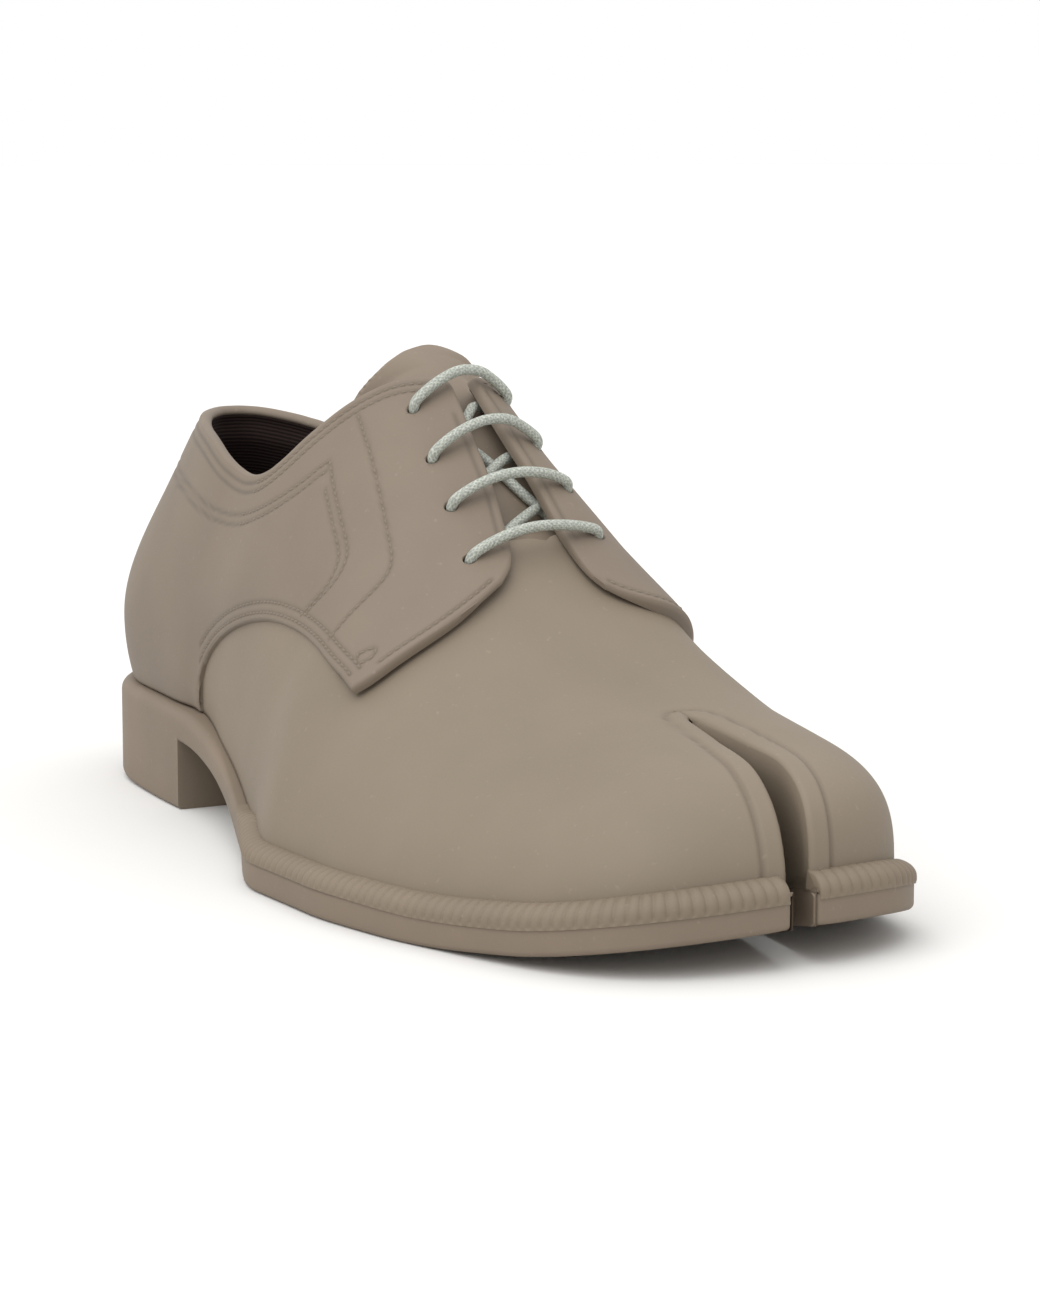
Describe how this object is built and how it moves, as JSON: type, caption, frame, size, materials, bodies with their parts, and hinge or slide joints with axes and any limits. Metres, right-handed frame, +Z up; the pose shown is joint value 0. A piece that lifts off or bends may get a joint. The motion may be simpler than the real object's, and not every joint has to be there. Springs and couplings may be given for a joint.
{
  "type": "lace-up shoe",
  "caption": "Right-foot lace-up derby shoe with a split toe, raised quarters, low block heel and ribbed edge, moulded in matte taupe rubber with a round cord lace.",
  "frame": {"origin": "middle of the shoe's box on the floor plane that the heel and the forefoot rest on", "axes": "+X towards the toe, +Y towards the inner (big toe) side, +Z up"},
  "size_m": [0.298, 0.1143, 0.1162],
  "materials": {
    "sole": "matte moulded",
    "upper": "matte moulded",
    "quarters": "matte moulded",
    "tongue": "matte moulded",
    "insole": "woven",
    "lace": "waxed braid"
  },
  "bodies": {
    "root": {"sole": "sole", "upper": "upper", "quarters": "quarters", "tongue": "tongue", "insole": "insole", "lace": "lace"}
  },
  "joints": []
}
